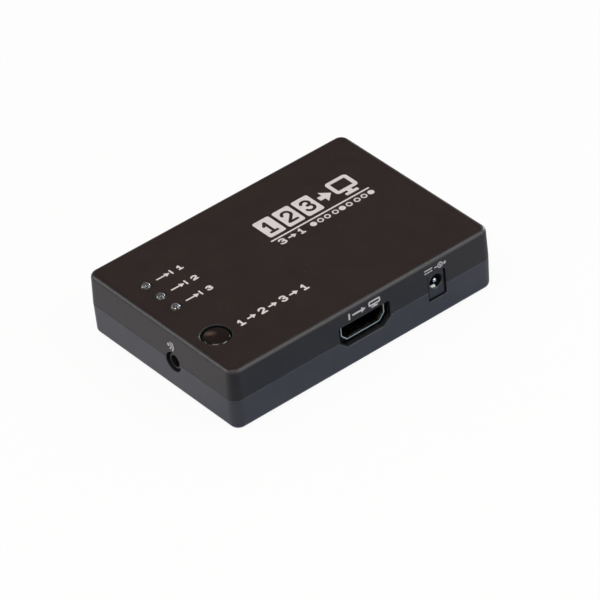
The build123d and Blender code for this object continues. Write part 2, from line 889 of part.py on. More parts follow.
def switching_chip_leads():
    """Leads on all four sides of the switching chip."""
    lead = gull_lead(chip_standoff + chip_thickness / 2, chip_lead_width)
    leads = []
    for turn in (0, 90, 180, 270):
        leads += lead_row(chip_lead_count, chip_lead_pitch, lead, chip_size / 2, turn)
    return group(leads, on_board(chip_x_share, chip_y_share))


def control_chip_leads():
    """Leads on the two long sides of the control chip."""
    lead = gull_lead(chip_standoff + control_thickness / 2, control_lead_width)
    leads = []
    for turn in (0, 180):
        leads += lead_row(control_lead_count, control_lead_pitch, lead, control_width / 2, turn)
    return group(leads, on_board(control_x_share, control_y_share))


def regulator_leads():
    """Three leads on one side of the regulator and its wide tab on the other."""
    height = chip_standoff + regulator_thickness / 2
    lead = gull_lead(height, regulator_lead_width)
    leads = lead_row(regulator_lead_count, regulator_lead_pitch, lead, regulator_width / 2, 180)
    leads += lead_row(1, 0, gull_lead(height, regulator_tab_width), regulator_width / 2, 0)
    return group(leads, on_board(regulator_x_share, regulator_y_share))


def crystal_can():
    """Pressed can with round ends and a rim at its base."""
    rim = SlotOverall(crystal_length, crystal_width)
    body = SlotOverall(crystal_length - 2 * crystal_rim, crystal_width - 2 * crystal_rim)
    can = extrude(rim, amount=crystal_base)
    can += extrude(body, amount=crystal_height)
    can = fillet(can.faces().sort_by(Axis.Z)[-1].edges(), crystal_rim)
    return on_board(crystal_x_share, crystal_y_share) * Pos(0, 0, chip_standoff) * can


def crystal_leads():
    """Two round leads under the crystal, ending at the board's upper face."""
    leads = []
    for side in (-1, 1):
        leads.append(rod(side * crystal_lead_spread / 2, 0, crystal_lead_radius, 0, chip_standoff))
    return group(leads, on_board(crystal_x_share, crystal_y_share))


def capacitor_bases():
    """Square bases of the smoothing capacitors, two corners cut to mark the polarity."""
    base = Box(can_base_size, can_base_size, can_base_height, align=BASE)
    marked = base.edges().filter_by(Axis.Z).group_by(Axis.X)[-1]
    base = chamfer(marked, can_base_height)
    return group(on_board(*place) * base for place in can_place_shares)


def capacitor_cans():
    """Aluminium cans of the smoothing capacitors."""
    can = rod(0, 0, can_radius, can_base_height, can_base_height + can_height)
    can = fillet(can.edges().sort_by(Axis.Z)[-1], can_edge_radius)
    return group(on_board(*place) * can for place in can_place_shares)


def chip_resistors():
    """Rows of terminating resistors behind each socket."""
    piece = Box(resistor_width, resistor_length, resistor_height, align=BASE)
    rows = [(share, resistor_row_y_share) for share in input_x_shares]
    rows.append((0, -resistor_row_y_share))
    pieces = []
    for place in rows:
        for i in range(resistors_in_row):
            x = (i - (resistors_in_row - 1) / 2) * resistor_pitch
            pieces.append(on_board(*place) * Pos(x, 0, 0) * piece)
    return group(pieces)


def chip_capacitors():
    """Decoupling capacitors on two sides of the switching chip."""
    piece = Box(cap_length, cap_width, cap_height, align=BASE)
    reach = chip_size / 2 + lead_shoulder + lead_drop + lead_foot + cap_row_gap
    pieces = []
    for side in (-1, 1):
        for i in range(caps_in_row):
            y = (i - (caps_in_row - 1) / 2) * cap_pitch
            pieces.append(on_board(chip_x_share, chip_y_share) * Pos(side * reach, y, 0) * piece)
    return group(pieces)


def save_sockets():
    """One output socket in front and three input sockets behind."""
    shell, contacts = socket_shell(), socket_contacts()
    insulator = socket_insulator(contacts)
    places = {"output": front_place(0)}
    for i, share in enumerate(input_x_shares):
        places[f"input_{len(input_x_shares) - i}"] = back_place(share)
    for name, place in places.items():
        save(f"{name}_socket_shell", place * shell)
        save(f"{name}_socket_insulator", place * insulator)
        save(f"{name}_socket_contacts", group(contacts.solids(), place))
    return list(places.values())


def save_lamps():
    """Three indicator lamps, each a lens on its pair of leads."""
    for i, share in enumerate(led_y_shares):
        leads = led_leads(share)
        save(f"lamp_{i + 1}_leads", leads)
        save(f"lamp_{i + 1}_lens", led_lens(share, leads))


def save_switch():
    """Button cap and the push switch under it."""
    legs = switch_legs()
    save("select_button", select_button())
    save("push_switch_plunger", switch_plunger())
    save("push_switch_dome", switch_dome())
    save("push_switch_legs", legs)
    save("push_switch_base", switch_base(legs))
    save("push_switch_cover", switch_cover())


def save_jacks():
    """Power inlet and receiver jack."""
    pin, leaf = inlet_pin(), inlet_leaf()
    save("power_inlet_pin", pin)
    save("power_inlet_leaf", leaf)
    save("power_inlet_body", inlet_body(pin, leaf))
    contacts = jack_contacts()
    save("receiver_jack_contacts", contacts)
    save("receiver_jack_body", jack_body(contacts))


def save_board_parts():
    """Small parts soldered to the board."""
    chip = chip_body(chip_size, chip_size, chip_thickness)
    save("switching_chip", on_board(chip_x_share, chip_y_share) * chip)
    save("switching_chip_leads", switching_chip_leads())
    control = chip_body(control_length, control_width, control_thickness)
    save("control_chip", on_board(control_x_share, control_y_share) * control)
    save("control_chip_leads", control_chip_leads())
    regulator = chip_body(regulator_length, regulator_width, regulator_thickness)
    save("regulator", on_board(regulator_x_share, regulator_y_share) * regulator)
    save("regulator_leads", regulator_leads())
    save("crystal_can", crystal_can())
    save("crystal_leads", crystal_leads())
    save("capacitor_bases", capacitor_bases())
    save("capacitor_cans", capacitor_cans())
    save("chip_resistors", chip_resistors())
    save("chip_capacitors", chip_capacitors())


save("upper_shell", upper_shell())
save("lower_shell", lower_shell())
save("case_screws", case_screws())
save("circuit_board", circuit_board(save_sockets()))
save_lamps()
save_switch()
save_jacks()
save_board_parts()
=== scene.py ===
import json
import math

import bmesh
import bpy
from mathutils import Matrix, Vector
from mathutils.bvhtree import BVHTree
from mathutils.geometry import delaunay_2d_cdt


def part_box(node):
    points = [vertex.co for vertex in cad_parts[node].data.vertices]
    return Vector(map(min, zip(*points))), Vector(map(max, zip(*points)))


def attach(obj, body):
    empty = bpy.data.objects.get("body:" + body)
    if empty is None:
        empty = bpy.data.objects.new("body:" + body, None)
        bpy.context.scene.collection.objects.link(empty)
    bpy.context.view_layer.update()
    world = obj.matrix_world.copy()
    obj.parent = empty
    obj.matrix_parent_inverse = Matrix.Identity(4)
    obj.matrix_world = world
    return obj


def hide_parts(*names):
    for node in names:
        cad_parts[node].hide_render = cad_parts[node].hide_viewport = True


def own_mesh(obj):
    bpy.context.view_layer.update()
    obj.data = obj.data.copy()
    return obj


# Looks of a three-into-one video switch box. Blender's lengths are metres; the values below that
# describe the object are millimetres and are turned into metres where they are used.

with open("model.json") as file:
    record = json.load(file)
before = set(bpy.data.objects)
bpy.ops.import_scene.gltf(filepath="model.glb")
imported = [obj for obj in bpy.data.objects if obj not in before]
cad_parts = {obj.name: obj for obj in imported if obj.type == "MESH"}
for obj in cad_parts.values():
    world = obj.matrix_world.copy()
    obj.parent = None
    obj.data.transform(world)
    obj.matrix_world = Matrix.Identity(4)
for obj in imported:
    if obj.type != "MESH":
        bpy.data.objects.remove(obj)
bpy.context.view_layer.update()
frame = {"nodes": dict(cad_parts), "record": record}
nodes = frame["nodes"]
MM = 0.001

# Camera, solved from the box's edges in the picture
view_azimuth, view_elevation, view_roll = -36.317, 37.43, -5.382
view_distance, base_right, base_up = 1300.228, -1.68, -2.035
focal_pixels, picture_pixels, sensor_mm = 4807.5, 600, 36.0

# Printed marks: height above the case and depth below it, and steps along an arc
ink_proud, ink_sunk = 0.012, 0.006
round_steps = 20

# Lamps: the lens as in the CAD model, the reflector cup on one post, the die in it, and the bond wire
# that lands on the other post
lens_radius, flange_thickness, lens_round, flange_draft, flange_foot = 1.5, 1.0, 0.12, 0.02, 0.01
cup_radius, cup_floor_radius, cup_height, cup_depth, cup_lip, cup_seat = 0.66, 0.24, 0.5, 0.34, 0.06, 0.02
die_size, die_height, die_round = 0.26, 0.1, 0.02
wire_radius, wire_rise, wire_end_angle, wire_sides = 0.03, 0.75, 20, 8
cup_side, landing_side = 0.72, 0.55


# Node trees

def put(tree, kind, settings=None, **inputs):
    """Add a node. Settings are its properties; inputs are values or sockets, by socket name."""
    made = tree.nodes.new(kind)
    for name, value in (settings or {}).items():
        setattr(made, name, value)
    for name, value in inputs.items():
        feed(tree, made.inputs[name.replace("_", " ")], value)
    return made


def feed(tree, socket, value):
    """Link a socket to an input, or set the input's own value."""
    if isinstance(value, bpy.types.NodeSocket):
        tree.links.new(value, socket)
    else:
        socket.default_value = value


def sum_of(tree, operation, *values, clamp=False):
    """Result of a Math node."""
    made = put(tree, "ShaderNodeMath", {"operation": operation, "use_clamp": clamp})
    for socket, value in zip(made.inputs, values):
        feed(tree, socket, value)
    return made.outputs[0]


def spread(tree, value, low, high, to_low, to_high):
    """Map a value from one range to another, held within it."""
    made = put(tree, "ShaderNodeMapRange", Value=value)
    for name, number in (("From Min", low), ("From Max", high), ("To Min", to_low), ("To Max", to_high)):
        feed(tree, made.inputs[name], number)
    return made.outputs["Result"]


def blend_of(tree, share, first, second):
    """Mix of two colours."""
    made = put(tree, "ShaderNodeMix", {"data_type": "RGBA"})
    feed(tree, made.inputs[0], share)
    feed(tree, made.inputs[6], first)
    feed(tree, made.inputs[7], second)
    return made.outputs[2]


def colour(*rgb):
    """A colour with full alpha."""
    return (*rgb, 1.0)


def noise(tree, place, scale, detail, rough):
    """Noise value at a place, its scale in waves per metre."""
    made = put(tree, "ShaderNodeTexNoise", Vector=place, Scale=scale, Detail=detail, Roughness=rough)
    return made.outputs[0]


def new_group(name, inputs, outputs):
    """Shader node group with float inputs, given as name and default, and float outputs."""
    group = bpy.data.node_groups.new(name, "ShaderNodeTree")
    for label, default in inputs.items():
        socket = group.interface.new_socket(label, in_out="INPUT", socket_type="NodeSocketFloat")
        socket.default_value = default
    for label in outputs:
        group.interface.new_socket(label, in_out="OUTPUT", socket_type="NodeSocketFloat")
    return group, group.nodes.new("NodeGroupInput").outputs, group.nodes.new("NodeGroupOutput")


def moulded_grain_group():
    """Spark-eroded texture of moulded plastic: fine grain, and a slower mottle in its tone."""
    group, given, result = new_group(
        "moulded_grain", {"Grain Size": 0.2, "Mottle Size": 6.0}, ("Grain", "Mottle"))
    place = put(group, "ShaderNodeTexCoord").outputs["Object"]
    fine = noise(group, place, sum_of(group, "DIVIDE", 1 / MM, given["Grain Size"]), detail=3.0, rough=0.6)
    cells = put(group, "ShaderNodeTexVoronoi", {"feature": "SMOOTH_F1"}, Vector=place,
                Scale=sum_of(group, "DIVIDE", 1.3 / MM, given["Grain Size"]))
    grain = sum_of(group, "ADD", sum_of(group, "MULTIPLY", fine, 0.6),
                   sum_of(group, "MULTIPLY", cells.outputs["Distance"], 0.5))
    mottle = noise(group, place, sum_of(group, "DIVIDE", 1 / MM, given["Mottle Size"]), detail=3.0,
                   rough=0.55)
    feed(group, result.inputs["Grain"], grain)
    feed(group, result.inputs["Mottle"], mottle)
    return group


def edge_polish_and_sheen_group():
    """Mask of outer edges, rubbed smoother than the faces beside them and lightened with a painted sheen
    where a material uses it.
    """
    group, given, result = new_group("edge_polish_and_sheen", {"Reach": 0.35, "Gain": 3.0}, ("Edge",))
    reach = sum_of(group, "MULTIPLY", given["Reach"], MM)
    rounded = put(group, "ShaderNodeBevel", {"samples": 4}, Radius=reach).outputs[0]
    flat = put(group, "ShaderNodeNewGeometry").outputs["Normal"]
    turn = put(group, "ShaderNodeVectorMath", {"operation": "DOT_PRODUCT"})
    feed(group, turn.inputs[0], rounded)
    feed(group, turn.inputs[1], flat)
    bent = sum_of(group, "SUBTRACT", 1.0, turn.outputs["Value"])
    feed(group, result.inputs["Edge"], sum_of(group, "MULTIPLY", bent, given["Gain"], clamp=True))
    return group


def settled_dust_group():
    """Mask of sparse specks, mostly on faces that look up."""
    group, given, result = new_group("settled_dust", {"Spacing": 2.2, "Speck": 0.05}, ("Dust",))
    place = put(group, "ShaderNodeTexCoord").outputs["Object"]
    cells = put(group, "ShaderNodeTexVoronoi", Vector=place,
                Scale=sum_of(group, "DIVIDE", 1 / MM, given["Spacing"]))
    near = sum_of(group, "LESS_THAN", cells.outputs["Distance"], given["Speck"])
    chosen = put(group, "ShaderNodeSeparateColor", Color=cells.outputs["Color"])
    rare = sum_of(group, "GREATER_THAN", chosen.outputs[0], 0.55)
    up = put(group, "ShaderNodeSeparateXYZ", Vector=put(group, "ShaderNodeNewGeometry").outputs["Normal"])
    lying = spread(group, up.outputs["Z"], 0.2, 0.9, 0.15, 1.0)
    feed(group, result.inputs["Dust"], sum_of(
        group, "MULTIPLY", sum_of(group, "MULTIPLY", near, rare), lying))
    return group


def painted_shade_group():
    """Mask of painted shade: hollows and gaps that light doesn't reach, found by ambient occlusion, clear of
    what the box stands on.
    """
    group, given, result = new_group("painted_hollow_shade", {"Reach": 4.0, "Depth": 3.5}, ("Painted Shade",))
    reach = sum_of(group, "MULTIPLY", given["Reach"], MM)
    seen = put(group, "ShaderNodeAmbientOcclusion", {"samples": 6}, Distance=reach).outputs["AO"]
    place = put(group, "ShaderNodeSeparateXYZ", Vector=put(group, "ShaderNodeTexCoord").outputs["Object"])
    raised = spread(group, place.outputs["Z"], 4 * MM, 5 * MM, 0.0, 1.0)
    closed = sum_of(group, "SUBTRACT", 1.0, sum_of(group, "POWER", seen, given["Depth"]), clamp=True)
    feed(group, result.inputs["Painted Shade"], sum_of(group, "MULTIPLY", closed, raised))
    return group


def drawn_metal_group():
    """Fine lines of rolled or drawn metal along one axis, and soft stains."""
    group, given, result = new_group(
        "drawn_metal", {"Line Width": 0.06, "Stretch": 30.0, "Stain Size": 1.5}, ("Lines", "Stain"))
    place = put(group, "ShaderNodeTexCoord").outputs["Object"]
    along = put(group, "ShaderNodeCombineXYZ", X=sum_of(group, "DIVIDE", 1.0, given["Stretch"]), Y=1.0, Z=1.0)
    drawn = put(group, "ShaderNodeVectorMath", {"operation": "MULTIPLY"})
    feed(group, drawn.inputs[0], place)
    feed(group, drawn.inputs[1], along.outputs[0])
    lines = noise(group, drawn.outputs[0], sum_of(group, "DIVIDE", 1 / MM, given["Line Width"]),
                  detail=2.0, rough=0.6)
    stain = noise(group, place, sum_of(group, "DIVIDE", 1 / MM, given["Stain Size"]), detail=3.0, rough=0.6)
    feed(group, result.inputs["Lines"], lines)
    feed(group, result.inputs["Stain"], stain)
    return group


grain_group, edge_polish_and_sheen_nodes = moulded_grain_group(), edge_polish_and_sheen_group()
dust_group, drawn_group = settled_dust_group(), drawn_metal_group()
painted_shade_nodes = painted_shade_group()


def effect(tree, group, **values):
    """Place a shared effect in a material with its own values."""
    return put(tree, "ShaderNodeGroup", {"node_tree": group}, **values).outputs


# Materials

def new_material(name):
    """Empty material with an output, its tree and its Principled shader."""
    material = bpy.data.materials.new(name)
    material.use_nodes = True
    tree = material.node_tree
    tree.nodes.clear()
    shader = put(tree, "ShaderNodeBsdfPrincipled")
    out = put(tree, "ShaderNodeOutputMaterial")
    tree.links.new(shader.outputs[0], out.inputs["Surface"])
    return material, tree, shader


def set_shader(tree, shader, **values):
    """Set or link the shader's inputs by name."""
    for name, value in values.items():
        feed(tree, shader.inputs[name.replace("_", " ")], value)


def bump(tree, height, depth_mm):
    """Normal from a height map of one depth."""
    made = put(tree, "ShaderNodeBump", Strength=1.0, Distance=depth_mm * MM, Height=height)
    return made.outputs[0]


# What moulded plastic turns to on rubbed edges, which also get a painted sheen, and under dust; and the
# painted shade in hollows: near black, rougher and partly metallic, because the plain reflection of plastic
# would light up even a black one
edge_sheen_colour, dust_colour = colour(0.2, 0.2, 0.21), colour(0.45, 0.44, 0.42)
painted_shade_colour, metal_painted_shade_colour = colour(0.003, 0.003, 0.003), colour(0.012, 0.012, 0.012)
edge_smoother, shade_rougher, shade_metallic = 0.12, 0.3, 0.55


def moulded_plastic(name, dark, light, rough, grain_size, grain_depth, level=0.5, edge_sheen=0.0, dust=0.0,
                    painted_shade=0.0):
    """Moulded plastic with its grain, mottle, rubbed edges with a painted sheen, a little dust, and hollows
    darkened with painted shade.
    """
    material, tree, shader = new_material(name)
    grain = effect(tree, grain_group, Grain_Size=grain_size)
    tone = spread(tree, grain["Mottle"], 0.3, 0.7, 0.0, 1.0)
    base = blend_of(tree, tone, colour(*dark), colour(*light))
    roughness = spread(tree, grain["Grain"], 0.3, 0.8, rough - 0.05, rough + 0.07)
    # Painted sheen: outer edges go lighter; they are also rubbed smoother
    if edge_sheen:
        edge = effect(tree, edge_polish_and_sheen_nodes)["Edge"]
        base = blend_of(tree, sum_of(tree, "MULTIPLY", edge, edge_sheen), base, edge_sheen_colour)
        roughness = sum_of(tree, "SUBTRACT", roughness, sum_of(tree, "MULTIPLY", edge, edge_smoother))
    if dust:
        specks = effect(tree, dust_group)["Dust"]
        base = blend_of(tree, sum_of(tree, "MULTIPLY", specks, dust), base, dust_colour)
    # Painted shade: hollows go near black, rougher and partly metallic
    if painted_shade:
        shade_mask = effect(tree, painted_shade_nodes)["Painted Shade"]
        base = blend_of(tree, sum_of(tree, "MULTIPLY", shade_mask, painted_shade), base, painted_shade_colour)
        roughness = sum_of(tree, "ADD", roughness, sum_of(tree, "MULTIPLY", shade_mask, shade_rougher),
                           clamp=True)
        set_shader(tree, shader, Metallic=sum_of(tree, "MULTIPLY", shade_mask, shade_metallic))
    set_shader(tree, shader, Base_Color=base, Roughness=roughness, Specular_IOR_Level=level,
               Normal=bump(tree, grain["Grain"], grain_depth))
    return material


def plated_metal(name, dark, light, rough, line_width=0.06, line_depth=0.002, stretch=30.0, painted_shade=0.0):
    """Metal with drawn lines, soft stains, and hollows darkened with painted shade."""
    material, tree, shader = new_material(name)
    marks = effect(tree, drawn_group, Line_Width=line_width, Stretch=stretch)
    base = blend_of(tree, spread(tree, marks["Stain"], 0.3, 0.7, 0.0, 1.0), colour(*dark), colour(*light))
    roughness = sum_of(tree, "ADD", spread(tree, marks["Lines"], 0.3, 0.7, rough - 0.06, rough + 0.06),
                       spread(tree, marks["Stain"], 0.4, 0.8, 0.0, 0.08))
    # Painted shade: hollows of the metal go darker
    if painted_shade:
        shade_mask = effect(tree, painted_shade_nodes, Reach=3.0, Depth=3.0)["Painted Shade"]
        base = blend_of(tree, sum_of(tree, "MULTIPLY", shade_mask, painted_shade), base, metal_painted_shade_colour)
    set_shader(tree, shader, Base_Color=base, Metallic=1.0, Roughness=roughness,
               Normal=bump(tree, marks["Lines"], line_depth))
    return material


def button_gloss_material():
    """Polished black cap with faint swirls and dust."""
    material, tree, shader = new_material("button_gloss")
    grain = effect(tree, grain_group, Grain_Size=0.9, Mottle_Size=2.0)
    specks = effect(tree, dust_group, Spacing=1.3, Speck=0.045)["Dust"]
    base = blend_of(tree, grain["Mottle"], colour(0.008, 0.0076, 0.0078), colour(0.012, 0.011, 0.0112))
    base = blend_of(tree, sum_of(tree, "MULTIPLY", specks, 0.35), base, colour(0.4, 0.38, 0.36))
    roughness = spread(tree, grain["Mottle"], 0.3, 0.75, 0.08, 0.16)
    set_shader(tree, shader, Base_Color=base, Roughness=roughness, Specular_IOR_Level=0.5,
               Normal=bump(tree, sum_of(tree, "MULTIPLY", grain["Grain"], 0.002), 1.0))
    return material


def lens_resin_material():
    """Clear moulded resin, faintly cloudy."""
    material, tree, shader = new_material("lens_resin")
    grain = effect(tree, grain_group, Grain_Size=0.5, Mottle_Size=1.2)
    base = blend_of(tree, grain["Mottle"], colour(0.80, 0.81, 0.83), colour(0.92, 0.93, 0.95))
    set_shader(tree, shader, Base_Color=base, Roughness=spread(tree, grain["Mottle"], 0.3, 0.8, 0.02, 0.06),
               IOR=1.53, Transmission_Weight=0.91, Normal=bump(tree, grain["Grain"], 0.001))
    return material


def board_lacquer_material():
    """Dark lacquer over copper tracks that show as slightly raised, lighter bands."""
    material, tree, shader = new_material("board_lacquer")
    place = put(tree, "ShaderNodeTexCoord").outputs["Object"]
    tracks = put(tree, "ShaderNodeTexBrick", {"offset": 0.37, "offset_frequency": 3}, Vector=place,
                 Scale=1 / (8 * MM), Mortar_Size=0.035, Brick_Width=1.1, Row_Height=0.28, Mortar_Smooth=0.3)
    grain = effect(tree, grain_group, Grain_Size=0.35, Mottle_Size=4.0)
    base = blend_of(tree, tracks.outputs["Fac"], colour(0.004, 0.012, 0.008), colour(0.010, 0.026, 0.017))
    base = blend_of(tree, sum_of(tree, "MULTIPLY", grain["Mottle"], 0.3), base, colour(0.003, 0.008, 0.006))
    height = sum_of(tree, "ADD", tracks.outputs["Fac"], sum_of(tree, "MULTIPLY", grain["Grain"], 0.1))
    set_shader(tree, shader, Base_Color=base, Roughness=spread(tree, grain["Mottle"], 0.3, 0.7, 0.22, 0.34),
               Normal=bump(tree, height, 0.03), Coat_Weight=0.3, Coat_Roughness=0.12)
    return material


def print_ink_material():
    """White pad-printed ink, a little thin and uneven."""
    material, tree, shader = new_material("print_ink")
    grain = effect(tree, grain_group, Grain_Size=0.22, Mottle_Size=1.6)
    thin = spread(tree, grain["Grain"], 0.25, 0.6, 0.35, 0.0)
    base = blend_of(tree, thin, colour(0.73, 0.75, 0.74), colour(0.42, 0.43, 0.43))
    base = blend_of(tree, spread(tree, grain["Mottle"], 0.3, 0.75, 0.3, 0.0), base, colour(0.5, 0.51, 0.51))
    set_shader(tree, shader, Base_Color=base, Roughness=spread(tree, grain["Mottle"], 0.3, 0.7, 0.45, 0.6),
               Specular_IOR_Level=0.3, Normal=bump(tree, grain["Grain"], 0.004))
    return material


# Both case halves have one grain, in two tones, with the same painted sheen on edges and painted shade in
# hollows
case_grain = {"rough": 0.44, "grain_size": 0.3, "grain_depth": 0.014, "level": 0.4, "edge_sheen": 0.12,
              "painted_shade": 0.97}
# Below, hollows get painted shade and edges a painted sheen, in the amounts given
materials = {
    "case_plastic": moulded_plastic("lid_moulding", (0.0154, 0.0104, 0.0092), (0.0196, 0.0134, 0.012),
                                    **case_grain, dust=0.25),
    "jack_plastic": moulded_plastic("jack_moulding", (0.016, 0.016, 0.018), (0.024, 0.024, 0.026),
                                    rough=0.38, grain_size=0.3, grain_depth=0.006, edge_sheen=0.08,
                                    painted_shade=0.9),
    "insulator_plastic": moulded_plastic("insulator_moulding", (0.010, 0.010, 0.011), (0.018, 0.018, 0.019),
                                         rough=0.5, grain_size=0.3, grain_depth=0.004, painted_shade=0.95),
    "chip_plastic": moulded_plastic("chip_epoxy", (0.018, 0.018, 0.019), (0.030, 0.030, 0.031),
                                    rough=0.6, grain_size=0.12, grain_depth=0.008),
    "ceramic": moulded_plastic("ceramic_body", (0.30, 0.20, 0.11), (0.42, 0.29, 0.17),
                               rough=0.55, grain_size=0.1, grain_depth=0.006),
    "plated_steel": plated_metal("socket_plating", (0.74, 0.67, 0.56), (0.88, 0.80, 0.67), rough=0.12,
                                 line_depth=0.0008, painted_shade=0.8),
    "spring_steel": plated_metal("spring_leaf", (0.50, 0.50, 0.50), (0.62, 0.62, 0.62), rough=0.3),
    "screw_steel": plated_metal("screw_blacking", (0.05, 0.05, 0.055), (0.11, 0.11, 0.115), rough=0.36),
    "tinned_leads": plated_metal("solder_tin", (0.55, 0.55, 0.54), (0.72, 0.72, 0.71), rough=0.3,
                                 line_width=0.1),
    "gold_contacts": plated_metal("contact_gold", (0.80, 0.56, 0.22), (0.90, 0.68, 0.33), rough=0.22),
    "can_metal": plated_metal("can_aluminium", (0.66, 0.66, 0.67), (0.80, 0.80, 0.81), rough=0.26,
                              line_width=0.12),
    "button_plastic": button_gloss_material(),
    "lamp_lens": lens_resin_material(),
    "board": board_lacquer_material(),
}
base_moulding = moulded_plastic("base_moulding", (0.0415, 0.0388, 0.0468), (0.0498, 0.0467, 0.056),
                                **case_grain, dust=0.2)
# The inlet's leaf is a darker, duller copy of the plating, as painted shade that keeps it from mirroring the
# light above; its hollows get painted shade too
shaded_leaf_plating = plated_metal("shaded_leaf_plating", (0.20, 0.195, 0.185), (0.30, 0.29, 0.27), rough=0.42,
                            painted_shade=0.6)
print_ink = print_ink_material()
own_finish = {"lower_shell": base_moulding, "power_inlet_leaf": shaded_leaf_plating,
              "power_inlet_pin": materials["tinned_leads"]}

slot_of_node = {row["node"]: row["material_slot"] for row in frame["record"]["subparts"]}
for name, piece in nodes.items():
    piece.data.materials.clear()
    piece.data.materials.append(own_finish.get(name, materials[slot_of_node[name]]))


# Mesh pieces

def finished(mesh_name, work, material, crease_angle=None):
    """Object made of a bmesh, its faces turned outwards, smooth up to the crease angle if one is given."""
    bmesh.ops.remove_doubles(work, verts=work.verts, dist=1e-8)
    bmesh.ops.recalc_face_normals(work, faces=work.faces)
    mesh = bpy.data.meshes.new(mesh_name)
    work.to_mesh(mesh)
    work.free()
    if crease_angle is not None:
        mesh.shade_smooth()
        mesh.set_sharp_from_angle(angle=math.radians(crease_angle))
    mesh.materials.append(material)
    made = bpy.data.objects.new(mesh_name, mesh)
    bpy.context.scene.collection.objects.link(made)
    return made


def arc(centre, radii, start, end, steps=round_steps):
    """Points along an elliptic arc, between two angles in degrees."""
    points = []
    for i in range(steps + 1):
        angle = math.radians(start + (end - start) * i / steps)
        points.append((centre[0] + radii[0] * math.cos(angle), centre[1] + radii[1] * math.sin(angle)))
    return points


def add_turned(work, profile, centre, segments=64):
    """Add a turned solid to a bmesh: (radius, height) points about an upright axis, in millimetres."""
    rings = []
    for radius, height in profile:
        if radius < 1e-6:
            rings.append([work.verts.new(Vector((centre[0], centre[1], height)) * MM)])
            continue
        ring = []
        for i in range(segments):
            angle = 2 * math.pi * i / segments
            spot = (centre[0] + radius * math.cos(angle), centre[1] + radius * math.sin(angle), height)
            ring.append(work.verts.new(Vector(spot) * MM))
        rings.append(ring)
    for lower, upper in zip(rings, rings[1:]):
        for i in range(segments):
            j = (i + 1) % segments
            corners = list(dict.fromkeys([lower[i % len(lower)], lower[j % len(lower)],
                                          upper[j % len(upper)], upper[i % len(upper)]]))
            if len(corners) > 2:
                work.faces.new(corners)


# Printed marks

UP, FRONT, LEFT, BACK = "up", "front", "left", "back"
# For each printed face: directions of a mark's width and height, and the way the face looks
face_axes = {
    UP: (Vector((1, 0, 0)), Vector((0, 1, 0)), Vector((0, 0, 1))),
    FRONT: (Vector((1, 0, 0)), Vector((0, 0, 1)), Vector((0, -1, 0))),
    LEFT: (Vector((0, -1, 0)), Vector((0, 0, 1)), Vector((-1, 0, 0))),
    BACK: (Vector((-1, 0, 0)), Vector((0, 0, 1)), Vector((0, 1, 0))),
}
case_skin = BVHTree.FromPolygons(
    [v.co.copy() for v in nodes["upper_shell"].data.vertices],
    [list(p.vertices) for p in nodes["upper_shell"].data.polygons])
cast_start = 100.0   # how far outside the case a ray starts, in millimetres


def on_case(face, u, v):
    """Point of the case's skin behind a mark's own coordinates, in millimetres."""
    across, upward, outward = face_axes[face]
    start = (across * u + upward * v + outward * cast_start) * MM
    hit = case_skin.ray_cast(start, -outward)[0]
    return hit / MM


def stroke(points, width, closed=False):
    """Outline pieces of a line with round joints and ends."""
    shapes = []
    pairs = list(zip(points, points[1:] + points[:1])) if closed else list(zip(points, points[1:]))
    for (ax, ay), (bx, by) in pairs:
        length = math.hypot(bx - ax, by - ay)
        if length < 1e-9:
            continue
        px, py = -(by - ay) / length * width / 2, (bx - ax) / length * width / 2
        shapes.append([(ax + px, ay + py), (ax - px, ay - py), (bx - px, by - py), (bx + px, by + py)])
    for x, y in points:
        shapes.append(arc((x, y), (width / 2, width / 2), 0, 360 * 11 / 12, 11))
    return shapes


def box_shape(x0, y0, x1, y1, radius=0.0):
    """Filled rectangle with round corners."""
    if radius <= 0:
        return [(x0, y0), (x1, y0), (x1, y1), (x0, y1)]
    shape = []
    for cx, cy, start in ((x1 - radius, y1 - radius, 0), (x0 + radius, y1 - radius, 90),
                          (x0 + radius, y0 + radius, 180), (x1 - radius, y0 + radius, 270)):
        shape += arc((cx, cy), (radius, radius), start, start + 90, 5)
    return shape


def frame_shape(x0, y0, x1, y1, width, radius):
    """Outline of a rounded rectangle, its outer edge at the given corners."""
    half = width / 2
    return stroke(box_shape(x0 + half, y0 + half, x1 - half, y1 - half, radius), width, closed=True)


def disc(centre, radius, steps=18):
    """Filled circle."""
    return arc(centre, (radius, radius), 0, 350, steps)


def circle(centre, radius, width):
    """Circular line of one stroke width."""
    return stroke(arc(centre, (radius, radius), 0, 345, 23), width, closed=True)


def digit(number, x, y, wide, tall, width):
    """Numeral 1, 2 or 3 drawn with one stroke width, its lower left corner at x and y."""
    half = width / 2
    left, right, low, high = x + half, x + wide - half, y + half, y + tall - half
    middle, reach, rise = (left + right) / 2, (right - left) / 2, (high - low)
    if number == 1:
        return (stroke([(left + 0.25 * reach, high - 0.28 * rise), (middle, high), (middle, low)], width)
                + stroke([(left + 0.2 * reach, low), (right - 0.2 * reach, low)], width))
    if number == 2:
        bowl = arc((middle, high - 0.3 * rise), (reach, 0.3 * rise), 170, -35, 14)
        return stroke(bowl + [(left, low), (right, low)], width)
    upper = arc((middle, high - 0.25 * rise), (0.92 * reach, 0.25 * rise), 160, -90, 14)
    lower = arc((middle, low + 0.27 * rise), (reach, 0.27 * rise), 90, -165, 14)
    return stroke(upper, width) + stroke(lower, width)


def arrow(x, y, length, width, head, head_length):
    """Arrow pointing right from its tail at x and y."""
    tip = x + length
    return [box_shape(x, y - width / 2, tip - head_length * 0.8, y + width / 2),
            [(tip - head_length, y - head / 2), (tip, y), (tip - head_length, y + head / 2)]]


